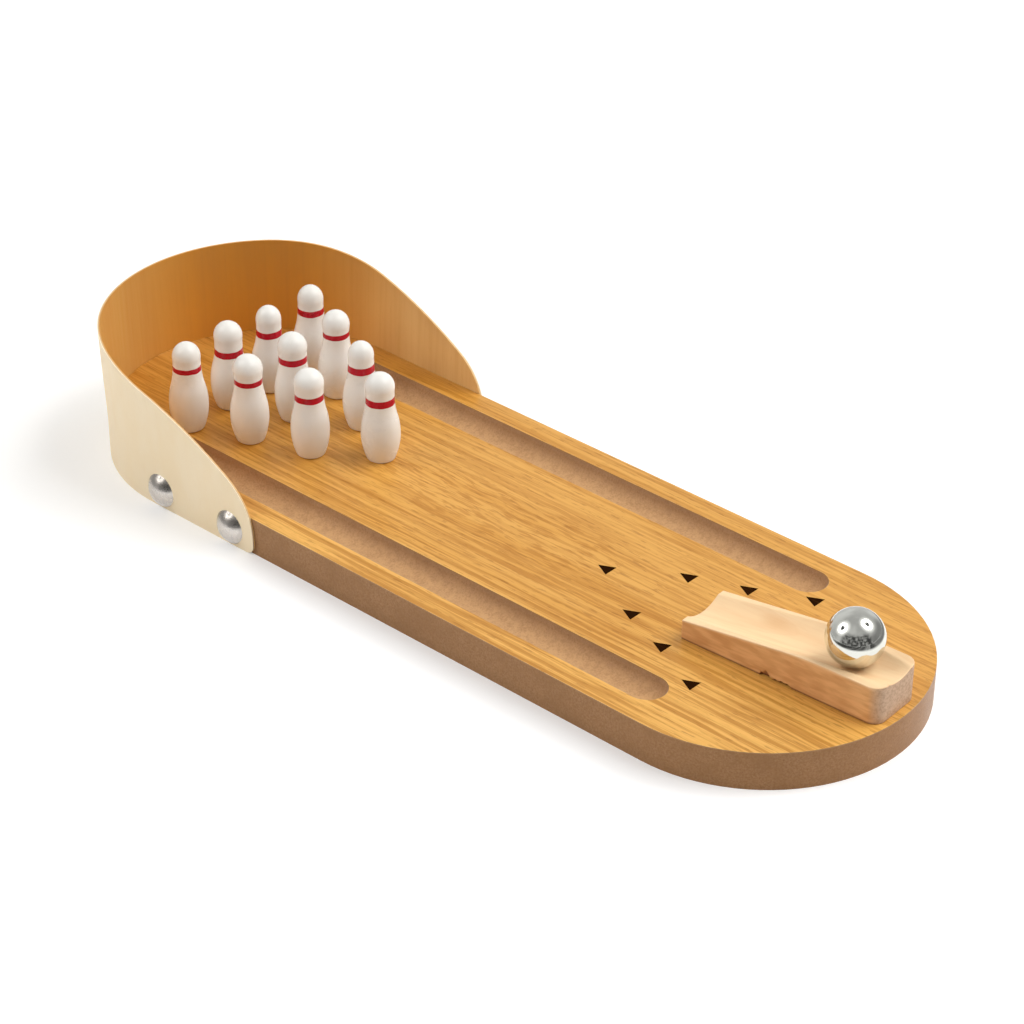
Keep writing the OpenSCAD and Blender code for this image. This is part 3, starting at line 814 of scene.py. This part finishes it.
# Ramp: a closed outline (foot, side, top with its groove, side) is carried from the lane end to the rear.
# Its height follows the slope, the soft break and the level top, its width follows the rounded rear corners,
# and each end draws the outline in by a quarter circle. The top is the lower of the level line and the
# groove, with a soft change between. Chips push the left side's foot inwards and upwards.
def makeRamp():
    values = rampBlock
    ease, length, corner, crown = values["easing"], values["length"], values["corner"], values["crown"]
    quarter = np.linspace(0.0, math.pi / 2, 6)
    rearArc = length - corner + corner * np.sin(np.linspace(0.0, math.pi / 2, 14))
    chipSpan = np.arange(26.8, 38.2, 0.22)
    stations = np.unique(np.round(np.concatenate([
        ease * (1 - np.cos(quarter)), np.linspace(ease, 26.6, 24), chipSpan, np.linspace(38.4, 62.0, 36),
        rearArc[rearArc < length - ease], length - ease * (1 - np.cos(quarter)),
    ]), 4))[:, None]
    fromEnd = np.minimum(stations, length - stations)
    drawIn = ease * (1 - np.sqrt(1 - (1 - np.clip(fromEnd / ease, 0, 1)) ** 2))
    angle = math.atan((values["rear"] - values["lip"]) / values["run"])
    level = values["run"] + crown * math.tan(angle / 2)
    bow = values["rear"] - crown + np.sqrt(crown ** 2 - np.clip(level - stations, 0, 30) ** 2)
    sloping = values["lip"] + stations * math.tan(angle)
    top = np.where(stations > level - crown * math.sin(angle), bow, sloping) - drawIn
    inCorner = np.clip(stations - (length - corner), 0, corner)
    half = values["width"] / 2 - corner + np.sqrt(corner ** 2 - inCorner ** 2) - drawIn
    arc = np.linspace(0.0, math.pi / 2, 6)[None, :]
    inner = half - ease
    flat = np.linspace(0.0, 1.0, 9)[None, :-1]
    wall = np.concatenate([np.linspace(0.0, 0.22, 16)[:-1], np.linspace(0.22, 1.0, 12)])[None, 1:-1]
    across = np.cos(np.linspace(0.0, math.pi, 72))[None, 1:-1]
    footX, footZ = inner * flat, drawIn + 0 * flat * inner
    lowX, lowZ = inner + ease * np.sin(arc), drawIn + ease - ease * np.cos(arc)
    wallX, wallZ = half + 0 * wall, drawIn + ease + (top - drawIn - 2 * ease) * wall
    highX, highZ = inner + ease * np.cos(arc), top - ease + ease * np.sin(arc)
    topX = inner * across
    slope, radius = math.radians(values["grooveSlope"]), values["grooveRadius"]
    middle = values["grooveLip"] + stations * math.tan(slope) + radius / math.cos(slope) - drawIn
    groove = middle - radius / math.cos(slope) * np.sqrt(1 - (topX / radius) ** 2)
    topZ = 0.5 * (top + groove - np.sqrt((top - groove) ** 2 + values["lipEasing"] ** 2))
    right = [(footX, footZ), (lowX, lowZ), (wallX, wallZ), (highX, highZ)]
    left = [(-x[:, ::-1], z[:, ::-1]) for x, z in right[:0:-1]] + [(-footX[:, :0:-1], footZ[:, :0:-1])]
    loop = right + [(topX, topZ)] + left
    loopX, loopZ = (np.concatenate(rows, 1) for rows in zip(*loop))
    marks = np.array(values["chips"])
    chip = np.interp(stations, marks[:, 0], marks[:, 1]) + 0 * loopX
    nearSide = np.clip((-loopX - half + 1.0) / 0.4, 0, 1)
    tornShaded = nearSide * np.clip(1 - loopZ / np.maximum(chip, 1e-6), 0, 1) ** 0.6 * (chip > 0)
    loopX = loopX + values["chipDepth"] * tornShaded * np.clip(chip, 0, 1)
    loopZ = loopZ + values["chipLift"] * chip * tornShaded * (loopZ < ease)
    turn = math.radians(values["turn"])
    alongY = length / 2 - stations + 0 * loopX
    points = np.stack([
        rampPivot[0] + mm * (loopX * math.cos(turn) - alongY * math.sin(turn)),
        rampPivot[1] + mm * (loopX * math.sin(turn) + alongY * math.cos(turn)),
        rampPivot[2] + mm * loopZ,
    ], axis=-1)
    piece = gridPiece("ramp_block", points, makePine(), closed=True, caps=True)
    sizes = np.cumsum([x.shape[1] for x, z in loop])
    onTop = np.zeros(loopX.shape[1])
    onTop[sizes[2]:sizes[5]] = 1
    high = np.clip((loopZ - top + 1.6 * ease) / (1.2 * ease), 0, 1)
    sawn = 1 - onTop * np.where(np.abs(loopX) > half - 2 * ease, high, 1)
    atRear = np.clip((stations - length + values["endGrainFrom"]) / 3.0, 0, 1)
    endCut = (atRear + np.clip(1 - stations / 0.2, 0, 1) + 0 * loopX) * (sawn > 0.5)
    endCut[[0, -1]] = sawn[[0, -1]] = 1
    for key, field in (("tornShaded", tornShaded), ("sawn", sawn), ("endCut", endCut)):
        attribute = piece.data.attributes.new(key, "FLOAT", "POINT")
        attribute.data.foreach_set("value", field.astype(np.float32).ravel())
    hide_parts("ball_ramp")
    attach(piece, "ball_ramp")


makeRamp()
print("ramp made")


# Arrows on the lane: (sideways, tip along the lane), in millimetres from the middle of the game
laneArrows = {
    "tips": [
        (-26.8, -93.8), (-18.3, -76.3), (-11.7, -59.5), (1.1, -39.2),
        (13.9, -59.5), (20.5, -76.3), (29.0, -93.8),
    ],
    "width": 4.9,
    "length": 4.95,
    "film": 0.03,
    "ink": (0.021, 0.007, 0.002),
    "worn": (0.052, 0.018, 0.004),
    "fibres": (0.3, 3.0, 0.6, 0.12),
    "roughness": (0.55, 0.70),
    "relief": 0.008,
}


# Printed ink: nearly black, thin over the wood's fibres
def makeInk():
    values = laneArrows
    material, tree, place = newMaterial("printedInk", IOR=1.3, Specular_IOR_Level=0.0)
    fibres = fibresOf(tree, place, values["fibres"])
    colour = layOver(tree, values["ink"], fibres["Lines"], 0.5, values["worn"])
    return finishMaterial(material, values, colour, fibres["Tone"], fibres["Tone"], 0.3, 0.7)


# Arrows: each is a three-sided film whose tip points at the pins, standing its own thickness proud of the oak
def makeArrows():
    values = laneArrows
    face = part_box("oak_face")[1].z
    tips = np.array(values["tips"])
    half, length = values["width"] / 2, values["length"]
    corners = (tips[:, None, :] + np.array([(0.0, 0.0), (-half, -length), (half, -length)])[None]) * mm
    points = [(x, y, z) for arrow in corners for z in (face + values["film"] * mm, face) for x, y in arrow]
    pattern = [(0, 1, 2), (5, 4, 3), (1, 0, 3, 4), (2, 1, 4, 5), (0, 2, 5, 3)]
    faces = [tuple(6 * k + corner for corner in side) for k in range(len(tips)) for side in pattern]
    piece = newPiece("lane_arrows", points, faces, makeInk())
    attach(piece, "game_base")


makeArrows()
print("arrows made")


# Studio: a pale floor, a white surround, a grey room that only bright metal mirrors, and three round lamps,
# of which one isn't mirrored. Lengths are metres. The floor's lift grows between the two distances from the
# game's middle.
studio = {
    "floorHalf": 6.0,
    "floor": (0.83, 0.827, 0.82),
    "floorLift": {"span": (0.5, 2.5), "strength": (0.26, 0.75)},
    "ambient": 0.345,
    "boxes": [
        {"name": "softBoxLeft", "from": (-0.546, 0.486, 0.683), "size": 1.6, "power": 31.2, "mirrored": True},
        {"name": "softBoxFront", "from": (0.390, -0.430, 0.814), "size": 1.7, "power": 40.0, "mirrored": True},
        {"name": "fillRight", "from": (0.788, -0.287, 0.545), "size": 3.0, "power": 40.5, "mirrored": False},
    ],
    "away": 2.6,
    "headSize": 0.38,
    "headGap": 0.05,
    "room": {
        "radius": 5.0, "grey": 0.56, "far": 0.70, "dark": 0.06, "spots": 0.42, "glow": 0.9, "shaded": 0.55,
    },
    "card": {
        "near": 0.12, "soft": 0.045, "rows": (0.3, 1.0, 4.85),
        "halfLength": 0.099, "white": 0.95, "lift": 0.0005,
    },
}


# 1 where the camera, a reflection or a refraction sees the surface or the world, and 0 for other light
def seenDirectly(tree):
    path = addNode(tree, "ShaderNodeLightPath").outputs
    seen = mathOf(tree, "MAXIMUM", path["Is Camera Ray"], path["Is Glossy Ray"])
    return mathOf(tree, "MAXIMUM", seen, path["Is Transmission Ray"])


# A glowing material, its tree and the input of the glow's strength
def startGlow(name):
    material = bpy.data.materials.new(name)
    material.use_nodes = True
    tree = material.node_tree
    tree.nodes.remove(tree.nodes["Principled BSDF"])
    glow = addNode(tree, "ShaderNodeEmission")
    tree.links.new(glow.outputs[0], tree.nodes["Material Output"].inputs["Surface"])
    return material, tree, glow.inputs["Strength"]


# Floor: matt and pale, with a lift where it is seen, so that it is near white and keeps its shadow. The lift
# is even round the game and grows with the distance, where the lamps no longer reach.
def makeFloor():
    half = studio["floorHalf"]
    material, tree, strength = startGlow("floor")
    away = vectorOf(tree, "LENGTH", addNode(tree, "ShaderNodeTexCoord").outputs["Object"])
    most = stepOf(tree, away, *studio["floorLift"]["span"], *studio["floorLift"]["strength"])
    give(tree, strength, timesOf(tree, seenDirectly(tree), most))
    matt = addNode(tree, "ShaderNodeBsdfDiffuse", {"Color": studio["floor"]})
    both = addNode(tree, "ShaderNodeAddShader", {0: matt.outputs[0], 1: strength.node.outputs[0]})
    tree.links.new(both.outputs[0], tree.nodes["Material Output"].inputs["Surface"])
    corners = [(-half, -half, 0.0), (half, -half, 0.0), (half, half, 0.0), (-half, half, 0.0)]
    floor = newPiece("floor", corners, [(0, 1, 2, 3)], material)


# World: even soft light, and plain white where it is seen
def makeWorld():
    world = bpy.data.worlds.new("studio")
    world.use_nodes = True
    tree = world.node_tree
    background = tree.nodes["Background"]
    give(tree, background.inputs["Strength"], mathOf(tree, "MAXIMUM", seenDirectly(tree), studio["ambient"]))
    give(tree, background.inputs["Color"], (1.0, 1.0, 1.0))
    scene.world = world


# The studio's brightness in a direction: grey all round with broad patches, paler opposite the camera and
# round each mirrored lamp, darker low on the right; from the camera's side up to well above it, dark clutter
# with pale spots
def surroundOf(tree, direction):
    values = studio["room"]
    toCamera = Vector((*camera["place"][:2], 0.0)).normalized()
    toRight = toCamera.cross(Vector((0.0, 0.0, -1.0)))
    side = vectorOf(tree, "DOT_PRODUCT", direction, tuple(toCamera))
    across = vectorOf(tree, "DOT_PRODUCT", direction, tuple(toRight))
    rise = splitOf(tree, direction)["Z"]
    clutter = noiseOf(tree, vectorOf(tree, "MULTIPLY", direction, (1.0, 1.0, 1.5)), 5.5, 3.0, 0.7, 0.15)
    broad = noiseOf(tree, direction, 1.6, 2.0)
    grey = stepOf(tree, side, -0.3, -0.9, values["grey"], values["far"])
    grey = timesOf(tree, grey, stepOf(tree, broad, 0.35, 0.65, 0.85, 1.1))
    for box in studio["boxes"]:
        if box["mirrored"]:
            near = vectorOf(tree, "DOT_PRODUCT", direction, tuple(Vector(box["from"]).normalized()))
            grey = mathOf(tree, "ADD", grey, stepOf(tree, near, 0.86, 0.985, 0.0, values["glow"]))
    shaded = timesOf(tree, stepOf(tree, across, 0.55, 0.85), stepOf(tree, rise, 0.60, 0.25))
    grey = timesOf(tree, grey, timesPlus(tree, shaded, -values["shaded"], 1.0))
    dark = mathOf(tree, "ADD", stepOf(tree, clutter, 0.44, 0.66, 0.0, values["spots"]), values["dark"])
    behind = timesOf(tree, stepOf(tree, side, 0.36, 0.66), stepOf(tree, rise, 0.74, 0.50))
    return timesPlus(tree, behind, minusOf(tree, dark, grey), grey)


# A piece of the studio that only bright metal and gloss show
def mirroredOnly(piece):
    for ray in ("camera", "diffuse", "transmission", "volume_scatter", "shadow"):
        setattr(piece, "visible_" + ray, False)


# Room: half a sphere over the table, with the studio's brightness in each direction
def makeRoom():
    around = np.linspace(0.0, 2 * math.pi, 49)[None, :]
    up = np.linspace(math.radians(0.5), math.pi / 2 - 0.01, 24)[:, None]
    points = studio["room"]["radius"] * np.stack([
        np.cos(up) * np.cos(around), np.cos(up) * np.sin(around), np.sin(up) + 0 * around,
    ], axis=-1)
    material, tree, strength = startGlow("room")
    place = addNode(tree, "ShaderNodeTexCoord").outputs["Object"]
    give(tree, strength, surroundOf(tree, vectorOf(tree, "NORMALIZE", place)))
    mirroredOnly(gridPiece("room", points, material))


# Card: the table's end as bright metal shows it. Each row is the game's outline, two half circles and two
# straight sides, grown by a distance; from the nearest row it goes over from the floor's white to the room's
# tones.
def makeCard():
    values = studio["card"]
    start, change = values["near"], values["near"] + values["soft"]
    turn = np.linspace(0.0, 2 * math.pi, 73)[None, :]
    away = np.array([start, change, *values["rows"]])[:, None]
    shift = values["halfLength"] * np.clip(12 * np.sin(turn), -1, 1)
    aside = away * np.cos(turn)
    along = away * np.sin(turn) + shift
    points = np.stack([aside, along, np.full_like(along, values["lift"])], axis=-1)
    material, tree, strength = startGlow("card")
    place = addNode(tree, "ShaderNodeTexCoord").outputs["Object"]
    found = useGroup(tree, railDistance, place, {"Half Length": values["halfLength"]})
    shade = surroundOf(tree, vectorOf(tree, "NORMALIZE", place))
    whiter = minusOf(tree, values["white"], shade)
    give(tree, strength, timesPlus(tree, stepOf(tree, found["Distance"], change, start), whiter, shade))
    mirroredOnly(gridPiece("card", points, material))


# Lamps: round soft boxes that face the table from their own directions. A mirrored one has a dark head in
# its middle.
def makeBoxes():
    material, tree, strength = startGlow("lampHead")
    strength.default_value = studio["room"]["dark"]
    ring = np.linspace(0.0, 2 * math.pi, 25)[None, :]
    spread = np.array([[0.001], [studio["headSize"]]])
    for box in studio["boxes"]:
        data = bpy.data.lights.new(box["name"], "AREA")
        data.shape = "DISK"
        data.size = box["size"]
        data.energy = box["power"]
        towards = Vector(box["from"]).normalized()
        turned = towards.to_track_quat("Z", "Y").to_matrix()
        lamp = bpy.data.objects.new(box["name"], data)
        lamp.matrix_world = Matrix.Translation(towards * studio["away"]) @ turned.to_4x4()
        lamp.visible_camera = False
        lamp.visible_glossy = box["mirrored"]
        scene.collection.objects.link(lamp)
        if box["mirrored"]:
            flat = np.stack([spread * np.cos(ring), spread * np.sin(ring), 0 * spread * ring], axis=-1)
            points = flat @ np.array(turned).T + np.array(towards * (studio["away"] - studio["headGap"]))
            head = gridPiece("head_" + box["name"], points, material)
            mirroredOnly(head)
            head.visible_shadow = True


makeFloor()
makeWorld()
makeRoom()
makeCard()
makeBoxes()
print("studio lit")
